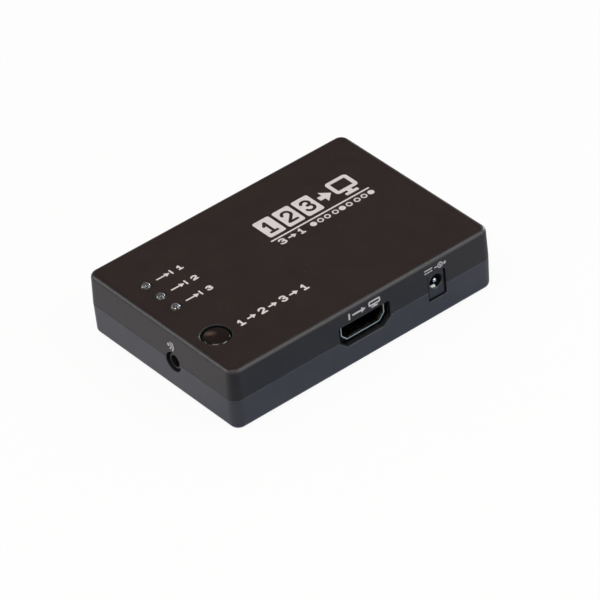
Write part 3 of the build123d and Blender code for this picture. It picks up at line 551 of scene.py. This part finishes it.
def mark(name, face, ink, bare=()):
    """One printed mark: the union of its ink shapes less its bare shapes, laid on a face of the case."""
    points, polygons = [], []
    for shape in [*ink, *bare]:
        polygons.append(list(range(len(points), len(points) + len(shape))))
        points += [Vector(p) for p in shape]
    spots, _, tiles, _, _, sources = delaunay_2d_cdt(points, [], polygons, 1, 1e-6)
    inked = len(ink)
    outward = face_axes[face][2]
    work = bmesh.new()
    top = {}
    for tile, source in zip(tiles, sources):
        if any(i >= inked for i in source) or not source:
            continue
        for i in tile:
            if i not in top:
                spot = on_case(face, spots[i].x, spots[i].y) + outward * ink_proud
                top[i] = work.verts.new(spot * MM)
        work.faces.new([top[i] for i in tile])
    bmesh.ops.recalc_face_normals(work, faces=work.faces)
    sheet = list(work.faces)
    rim = [e for e in work.edges if e.is_boundary]
    lowered = {}
    for v in list(work.verts):
        lowered[v] = work.verts.new(v.co - outward * (ink_proud + ink_sunk) * MM)
    for edge in rim:
        a, b = edge.verts
        work.faces.new([a, b, lowered[b], lowered[a]])
    for tile in sheet:
        work.faces.new([lowered[v] for v in reversed(tile.verts)])
    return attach(finished(name, work, print_ink), "case")


# Mark of an input, as shares of its height: arrow, bar and numeral; and their lines, as shares of the
# stroke width
input_arrow_length, input_head, input_head_length = 2.15, 0.86, 0.72
input_bar_place, input_digit_place, input_digit_wide = 2.3, 3.35, 0.95
input_bar_width, input_digit_width = 1.2, 1.25


def input_mark(x, y, tall, width, number):
    """Arrow that ends at a bar, then the input's number."""
    bar_left, bar_wide = x + input_bar_place * tall, input_bar_width * width
    shapes = arrow(x, y + tall / 2, input_arrow_length * tall, bar_wide, input_head * tall,
                   input_head_length * tall)
    shapes.append(box_shape(bar_left, y, bar_left + bar_wide, y + tall, 0.1))
    return shapes + digit(number, x + input_digit_place * tall, y, input_digit_wide * tall, tall,
                          width * input_digit_width)


# Large mark on the lid: three numbered blocks, an arrow and a screen
block_wide, block_tall, block_low, block_pitch, block_round = 5.7, 8.3, 7.45, 6.75, 0.7
numeral_side, numeral_low, numeral_stroke = 1.05, 1.35, 0.95
lid_arrow_gap, lid_arrow = 0.1, (4.3, 1.7, 5.0, 2.7)
screen_gap, screen_right, screen_rise, screen_stroke, screen_round = 5.0, 32.9, 2.0, 1.25, 0.5
foot_side, foot_tall, foot_round = 1.6, 1.1, 0.3
neck_half, neck_low, neck_high = 0.8, 0.5, 2.4
rule_left, rule_low, rule_right, rule_high, rule_round = -1.0, 5.8, 33.5, 6.35, 0.2
lid_ink, lid_bare = [], []
for i in range(3):
    left = i * block_pitch
    lid_ink.append(box_shape(left, block_low, left + block_wide, block_low + block_tall, block_round))
    lid_bare += digit(i + 1, left + numeral_side, block_low + numeral_low, block_wide - 2 * numeral_side,
                      block_tall - 2 * numeral_low, numeral_stroke)
arrow_left = 3 * block_pitch + lid_arrow_gap
lid_ink += arrow(arrow_left, block_low + block_tall / 2, *lid_arrow)
screen_left = arrow_left + screen_gap
neck_x = (screen_left + screen_right) / 2
lid_ink += frame_shape(screen_left, block_low + screen_rise, screen_right, block_low + block_tall,
                       screen_stroke, screen_round)
lid_ink.append(box_shape(screen_left + foot_side, block_low, screen_right - foot_side,
                         block_low + foot_tall, foot_round))
lid_ink.append(box_shape(neck_x - neck_half, block_low + neck_low, neck_x + neck_half, block_low + neck_high))
mark("print_lid_diagram", UP, lid_ink, lid_bare)
mark("print_lid_rule", UP, [box_shape(rule_left, rule_low, rule_right, rule_high, rule_round)])

# Row of small marks below the rule: three to one, then the lamps in their three states
row_low, row_tall, row_stroke = 2.75, 2.6, 0.55
three_left, three_wide, one_left, one_wide = 0.2, 2.3, 6.9, 2.0
row_arrow_left, row_arrow = 3.4, (2.7, 0.55, 1.9, 1.3)
state_left, state_pitch, dot_pitch = 12.2, 7.7, 2.45
lit_radius, ring_radius, ring_stroke = 0.98, 0.76, 0.42
row = digit(3, three_left, row_low, three_wide, row_tall, row_stroke)
row += arrow(row_arrow_left, row_low + row_tall / 2, *row_arrow)
row += digit(1, one_left, row_low, one_wide, row_tall, row_stroke)
for state in range(3):
    for dot in range(3):
        spot = (state_left + state * state_pitch + dot * dot_pitch, row_low + row_tall / 2)
        if dot == state:
            row.append(disc(spot, lit_radius, 24))
        else:
            row += circle(spot, ring_radius, ring_stroke)
mark("print_lid_row", UP, row)

# Beside each lamp: the input that it stands for
lamp_y, lamp_label_left, lamp_label_tall, label_stroke = (14.8, 8.43, 2.06), -33.5, 2.06, 0.42
for i, y in enumerate(lamp_y):
    mark(f"print_lamp_{i + 1}_label", UP,
         input_mark(lamp_label_left, y - lamp_label_tall / 2, lamp_label_tall, label_stroke, i + 1))

# Beside the button: each input in turn
turn_left, turn_low, turn_pitch, turn_wide, turn_tall, turn_stroke = -30.1, -17.0, 7.2, 2.2, 2.7, 0.58
turn_arrow_left, turn_arrow = -26.9, (2.9, 0.55, 2.0, 1.4)
turn = []
for i in range(4):
    turn += digit(i % 3 + 1, turn_left + i * turn_pitch, turn_low, turn_wide, turn_tall, turn_stroke)
for i in range(3):
    turn += arrow(turn_arrow_left + i * turn_pitch, turn_low + turn_tall / 2, *turn_arrow)
mark("print_button_label", UP, turn)

# Front wall: signal out of the box to a screen. Bars are given as in box_shape
out_bar, out_arrow = (-5.25, 15.6, -4.7, 17.6, 0.1), (-3.9, 16.6, 4.6, 0.55, 1.75, 1.5)
out_screen = (1.7, 16.1, 5.75, 17.75, 0.5, 0.2)
out_foot, out_neck = (2.6, 15.45, 4.85, 15.85, 0.1), (3.4, 15.6, 4.05, 16.3, 0.05)
mark("print_output_label", FRONT, [box_shape(*out_bar), *arrow(*out_arrow), *frame_shape(*out_screen),
                                   box_shape(*out_foot), box_shape(*out_neck)])

# Front wall: direct current, a long bar over three dashes, and the supply's poles
long_bar, minus_bar = (21.25, 17.05, 24.0, 17.4, 0.1), (24.75, 16.6, 25.65, 16.95, 0.08)
plus_across, plus_upright = (27.85, 16.6, 28.85, 16.95, 0.08), (28.175, 16.275, 28.525, 17.275, 0.08)
dash_left, dash_low, dash_wide, dash_high, dash_round, dash_pitch = 21.25, 16.2, 0.75, 16.55, 0.1, 1.0
pole_centre, pin_radius, sleeve_radius, sleeve_stroke = (26.75, 16.775), 0.32, 0.78, 0.3
power = [box_shape(*long_bar)]
for i in range(3):
    left = dash_left + i * dash_pitch
    power.append(box_shape(left, dash_low, left + dash_wide, dash_high, dash_round))
power += [box_shape(*minus_bar), box_shape(*plus_across), box_shape(*plus_upright),
          disc(pole_centre, pin_radius), *circle(pole_centre, sleeve_radius, sleeve_stroke)]
mark("print_power_label", FRONT, power)

# Left wall: waves from a remote control
wave_centre, wave_dot, wave_stroke, wave_arcs = (3.95, 14.6), 0.5, 0.48, ((1.2, 52), (2.05, 36))
waves = [disc(wave_centre, wave_dot)]
for radius, half_angle in wave_arcs:
    waves += stroke(arc(wave_centre, (radius, radius), -half_angle, half_angle, 10), wave_stroke)
mark("print_receiver_label", LEFT, waves)

# Back wall: the three inputs, numbered from left to right as seen there
input_x, input_label_side, input_label_low, input_label_tall = (25.02, 0.0, -25.02), 4.15, 15.6, 2.0
for i, x in enumerate(input_x):
    mark(f"print_input_{i + 1}_label", BACK,
         input_mark(-x - input_label_side, input_label_low, input_label_tall, label_stroke, i + 1))


# Lamps: a clear lens and what shows through it

def lamp(number):
    """Lens turned in one piece, and the reflector cup, die and bond wire on its posts."""
    low, high = (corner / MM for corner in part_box(f"lamp_{number}_lens"))
    centre = ((low.x + high.x) / 2, (low.y + high.y) / 2)
    flange_radius = (high.x - low.x) / 2
    dome = high.z - lens_radius
    flange_top = low.z + flange_thickness
    profile = arc((0, dome), (lens_radius, lens_radius), 90, 0, 24)
    profile += [(lens_radius, flange_top + lens_round)]
    profile += arc((flange_radius - lens_round, flange_top - lens_round), (lens_round, lens_round), 90, 0, 6)
    profile += [(flange_radius, low.z + flange_foot), (flange_radius - flange_draft, low.z), (0, low.z)]
    work = bmesh.new()
    add_turned(work, profile, centre)
    lens = finished(f"lamp_{number}_resin", work, materials["lamp_lens"], crease_angle=35)
    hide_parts(f"lamp_{number}_lens")
    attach(lens, "case")

    post_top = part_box(f"lamp_{number}_leads")[1].z / MM
    cup_x = centre[0] - cup_side
    rim = post_top + cup_height
    work = bmesh.new()
    add_turned(work, [(0, post_top - cup_seat), (cup_radius, post_top - cup_seat), (cup_radius, rim),
                      (cup_radius - cup_lip, rim), (cup_floor_radius, rim - cup_depth), (0, rim - cup_depth)],
               (cup_x, centre[1]), 32)
    cup = finished(f"lamp_{number}_cup", work, materials["tinned_leads"], crease_angle=35)
    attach(cup, "case")

    work = bmesh.new()
    die_floor = rim - cup_depth
    bmesh.ops.create_cube(work, size=1.0, matrix=Matrix.Translation(
        Vector((cup_x, centre[1], die_floor + die_height / 2)) * MM)
        @ Matrix.Diagonal(Vector((die_size, die_size, die_height)) * MM).to_4x4())
    bmesh.ops.bevel(work, geom=list(work.edges), offset=die_round * MM, segments=2, profile=0.5,
                     affect="EDGES")
    landing = centre[0] + landing_side
    span = arc(((cup_x + landing) / 2, die_floor + die_height), ((landing - cup_x) / 2, wire_rise),
               180, wire_end_angle, 16)
    span.append((landing, post_top))
    rings = []
    for i, (x, z) in enumerate(span):
        before, after = span[max(i - 1, 0)], span[min(i + 1, len(span) - 1)]
        along = Vector((after[0] - before[0], 0, after[1] - before[1])).normalized()
        side = Vector((0, 1, 0))
        across = along.cross(side)
        ring = []
        for k in range(wire_sides):
            angle = 2 * math.pi * k / wire_sides
            offset = side * math.cos(angle) + across * math.sin(angle)
            ring.append(work.verts.new((Vector((x, centre[1], z)) + offset * wire_radius) * MM))
        rings.append(ring)
    for near, far in zip(rings, rings[1:]):
        for k in range(wire_sides):
            j = (k + 1) % wire_sides
            work.faces.new([near[k], near[j], far[j], far[k]])
    work.faces.new(rings[0])
    work.faces.new(list(reversed(rings[-1])))
    die = finished(f"lamp_{number}_die", work, materials["gold_contacts"], crease_angle=35)
    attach(die, "case")


for number in (1, 2, 3):
    lamp(number)


# Push switch: the spring dome under its stem

def snap_dome():
    """Shallow spring dome in the place of the CAD model's dome, with a mesh of its own."""
    low, high = (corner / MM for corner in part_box("push_switch_dome"))
    centre = ((low.x + high.x) / 2, (low.y + high.y) / 2)
    reach, rise = (high.x - low.x) / 2, high.z - low.z
    ball = (reach ** 2 + rise ** 2) / (2 * rise)
    rim_angle = math.degrees(math.asin((ball - rise) / ball))
    work = bmesh.new()
    add_turned(work, arc((0, high.z - ball), (ball, ball), 90, rim_angle, 12) + [(0, low.z)], centre, 48)
    dome = finished("push_switch_snap", work, materials["spring_steel"], crease_angle=35)
    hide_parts("push_switch_dome")
    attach(dome, "case")
    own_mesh(dome)


snap_dome()


# Floor, background and light

# Floor, in millimetres: half its size, how far it lies below the part, and between which places the
# cool tone that gloss mirrors grows in front of the part and fades along it
floor_half, floor_drop = 6000.0, 0.03
cool_near, cool_far, cool_left, cool_right, cool_rest = 0.0, 35.0, 28.0, 50.0, 0.55
away_x, away_y = 0.15, 0.99
floor_tone, floor_cool_tone, floor_glow = colour(0.86, 0.88, 0.915), colour(0.30, 0.445, 0.60), 0.92
paper_dark, paper_light = colour(0.92, 0.92, 0.92), colour(0.97, 0.97, 0.97)
paper_bounce = colour(0.5, 0.5, 0.5)


def floor_material():
    """Pale floor: mostly the plain background, with enough of its own light to keep a soft shadow."""
    material = bpy.data.materials.new("floor_paper")
    material.use_nodes = True
    tree = material.node_tree
    tree.nodes.clear()
    place = put(tree, "ShaderNodeTexCoord").outputs["Object"]
    fibre = noise(tree, place, scale=900.0, detail=3.0, rough=0.6)
    light_path = put(tree, "ShaderNodeLightPath").outputs
    pale = blend_of(tree, fibre, paper_dark, paper_light)
    paper = put(tree, "ShaderNodeBsdfDiffuse", Color=blend_of(
        tree, light_path["Is Camera Ray"], paper_bounce, pale))
    across = put(tree, "ShaderNodeSeparateXYZ", Vector=place).outputs
    away = sum_of(tree, "SUBTRACT", sum_of(tree, "MULTIPLY", across["X"], away_x),
                  sum_of(tree, "MULTIPLY", across["Y"], away_y))
    cool = sum_of(tree, "MULTIPLY", spread(tree, away, cool_near * MM, cool_far * MM, 0.0, 1.0),
                  spread(tree, across["X"], cool_left * MM, cool_right * MM, 1.0, cool_rest))
    mirrored = blend_of(tree, cool, floor_tone, floor_cool_tone)
    bright = put(tree, "ShaderNodeEmission", Strength=1.0, Color=blend_of(
        tree, light_path["Is Glossy Ray"], colour(1, 1, 1), mirrored))
    seen = sum_of(tree, "MAXIMUM", light_path["Is Camera Ray"],
                  sum_of(tree, "MAXIMUM", light_path["Is Glossy Ray"], light_path["Is Transmission Ray"]))
    mixed = put(tree, "ShaderNodeMixShader", Fac=sum_of(tree, "MULTIPLY", seen, floor_glow))
    tree.links.new(paper.outputs[0], mixed.inputs[1])
    tree.links.new(bright.outputs[0], mixed.inputs[2])
    out = put(tree, "ShaderNodeOutputMaterial")
    tree.links.new(mixed.outputs[0], out.inputs["Surface"])
    return material


def make_floor():
    """Wide sheet just under the part."""
    work = bmesh.new()
    bmesh.ops.create_grid(work, x_segments=8, y_segments=8, size=floor_half * MM)
    bmesh.ops.translate(work, verts=work.verts, vec=(0, 0, -floor_drop * MM))
    floor = finished("floor", work, floor_material())


def bright_patch(tree, way, towards, inner, outer, strength):
    """Soft round patch of brightness about one direction, its radii in degrees."""
    facing = put(tree, "ShaderNodeVectorMath", {"operation": "DOT_PRODUCT"})
    feed(tree, facing.inputs[0], way)
    feed(tree, facing.inputs[1], Vector(towards).normalized())
    return spread(tree, facing.outputs["Value"], math.cos(math.radians(outer)),
                  math.cos(math.radians(inner)), 0.0, strength)


# What gloss and glass mirror of the room: tones; between which directions a tone or window begins and
# ends; and round patches, as direction, inner and outer radius in degrees, and brightness
horizon_tone, ceiling_tone, ceiling_rise = colour(1.0, 1.0, 1.0), colour(0.07, 0.04, 0.034), (0.03, 0.35)
wall_tone, wall_patch = colour(0.12, 0.06, 0.04), ((0.47, 0.66, 0.585), 7, 27, 1.0)
spot_tone, spot_patch = colour(1.35, 0.9, 0.72), ((0.427, 0.73, 0.552), 0.5, 4.5, 1.0)
window_tone, window_strength, window_middle = colour(0.86, 0.95, 1.0), 4.2, 0.47
window_side, window_back, window_foot = (0.14, 0.34), (-0.45, -0.12), (0.0, 0.15)
# Plain light on everything: cool from the sides, warm from above
fill_side_tone, fill_top_tone = colour(0.84, 0.95, 1.14), colour(1.22, 0.92, 0.84)
fill_rise, fill_strength = (0.1, 0.9), 0.55
# Small windows, as patches
small_windows = (
    ((0.98, 0.15, 0.09), 12, 19, 15.0),
    ((-0.66, 0.64, 0.38), 8, 18, 7.0),
    ((-0.77, 0.63, 0.08), 6, 16, 1.2),
    ((-0.47, -0.64, 0.61), 4, 7, 20.0),
    ((-0.674, -0.504, 0.536), 3, 6, 60.0),
    ((-0.82, 0.08, 0.555), 4, 8, 14.0),
)


def make_world():
    """Soft studio light. What gloss and glass see of it is the white background near the horizon, a
    dim warm ceiling, wall and spot, one tall window and the small ones."""
    world = bpy.data.worlds.new("studio")
    bpy.context.scene.world = world
    world.use_nodes = True
    tree = world.node_tree
    tree.nodes.clear()
    way = put(tree, "ShaderNodeTexCoord").outputs["Generated"]
    height = put(tree, "ShaderNodeSeparateXYZ", Vector=way).outputs["Z"]
    ceiling = spread(tree, height, *ceiling_rise, 0.0, 1.0)
    background = blend_of(tree, ceiling, horizon_tone, ceiling_tone)
    background = blend_of(tree, bright_patch(tree, way, *wall_patch), background, wall_tone)
    background = blend_of(tree, bright_patch(tree, way, *spot_patch), background, spot_tone)
    side, front = (put(tree, "ShaderNodeSeparateXYZ", Vector=way).outputs[axis] for axis in ("X", "Y"))
    beside = sum_of(tree, "ABSOLUTE", sum_of(tree, "SUBTRACT", side, window_middle))
    windows = sum_of(tree, "MULTIPLY", spread(tree, beside, *window_side, window_strength, 0.0),
                     sum_of(tree, "MULTIPLY", spread(tree, front, *window_back, 1.0, 0.0),
                            spread(tree, height, *window_foot, 0.0, 1.0)))
    for patch in small_windows:
        windows = sum_of(tree, "ADD", windows, bright_patch(tree, way, *patch))
    lit = put(tree, "ShaderNodeMix", {"data_type": "RGBA", "blend_type": "ADD", "clamp_factor": False})
    for socket, value in ((0, windows), (6, background), (7, window_tone)):
        feed(tree, lit.inputs[socket], value)
    light_path = put(tree, "ShaderNodeLightPath").outputs
    seen = sum_of(tree, "MAXIMUM", light_path["Is Glossy Ray"], light_path["Is Transmission Ray"])
    fill = blend_of(tree, spread(tree, height, *fill_rise, 0.0, 1.0), fill_side_tone, fill_top_tone)
    plain = put(tree, "ShaderNodeBackground", Color=fill, Strength=fill_strength)
    mirrored = put(tree, "ShaderNodeBackground", Color=lit.outputs[2], Strength=1.0)
    white = put(tree, "ShaderNodeBackground", Color=colour(1.0, 1.0, 1.0), Strength=1.0)
    inner = put(tree, "ShaderNodeMixShader", Fac=seen)
    tree.links.new(plain.outputs[0], inner.inputs[1])
    tree.links.new(mirrored.outputs[0], inner.inputs[2])
    outer = put(tree, "ShaderNodeMixShader", Fac=light_path["Is Camera Ray"])
    tree.links.new(inner.outputs[0], outer.inputs[1])
    tree.links.new(white.outputs[0], outer.inputs[2])
    out = put(tree, "ShaderNodeOutputWorld")
    tree.links.new(outer.outputs[0], out.inputs["Surface"])


soft_box_aim = (0, 0, 0.01)   # the middle of the part


def soft_box(name, azimuth, elevation, distance, wide, tall, watts, tint):
    """Area lamp aimed at the middle of the part."""
    lamp_data = bpy.data.lights.new(name, "AREA")
    lamp_data.shape, lamp_data.size, lamp_data.size_y = "RECTANGLE", wide, tall
    lamp_data.energy, lamp_data.color = watts, tint
    made = bpy.data.objects.new(name, lamp_data)
    bpy.context.scene.collection.objects.link(made)
    a, e = math.radians(azimuth), math.radians(elevation)
    back = Vector((math.sin(a) * math.cos(e), -math.cos(a) * math.cos(e), math.sin(e)))
    made.location = Vector(soft_box_aim) + back * distance
    made.rotation_euler = (-back).to_track_quat("-Z", "Y").to_euler()


def make_camera():
    """Camera at the picture's angle and framing."""
    a, e, r = (math.radians(angle) for angle in (view_azimuth, view_elevation, view_roll))
    back = Vector((math.sin(a) * math.cos(e), -math.cos(a) * math.cos(e), math.sin(e)))
    level = (-back).cross(Vector((0, 0, 1))).normalized()
    upright = level.cross(-back)
    right = level * math.cos(r) + upright * math.sin(r)
    up = upright * math.cos(r) - level * math.sin(r)
    camera_data = bpy.data.cameras.new("camera")
    camera_data.sensor_width = sensor_mm
    camera_data.lens = focal_pixels * sensor_mm / picture_pixels
    camera_data.clip_start, camera_data.clip_end = 0.05, 50.0
    camera = bpy.data.objects.new("camera", camera_data)
    bpy.context.scene.collection.objects.link(camera)
    place = (back * view_distance - right * base_right - up * base_up) * MM
    turn = Matrix((right, up, back)).transposed().to_4x4()
    camera.matrix_world = Matrix.Translation(place) @ turn
    bpy.context.scene.camera = camera


make_floor()
make_world()
make_camera()
soft_box("overhead_soft_box", azimuth=-60, elevation=72, distance=0.9, wide=0.5, tall=0.5, watts=3.0,
         tint=(1.0, 0.965, 0.93))
soft_box("front_soft_box", azimuth=38, elevation=40, distance=0.9, wide=0.3, tall=0.2, watts=1.0,
         tint=(0.86, 0.94, 1.0))
bpy.context.scene.view_settings.view_transform = "Standard"
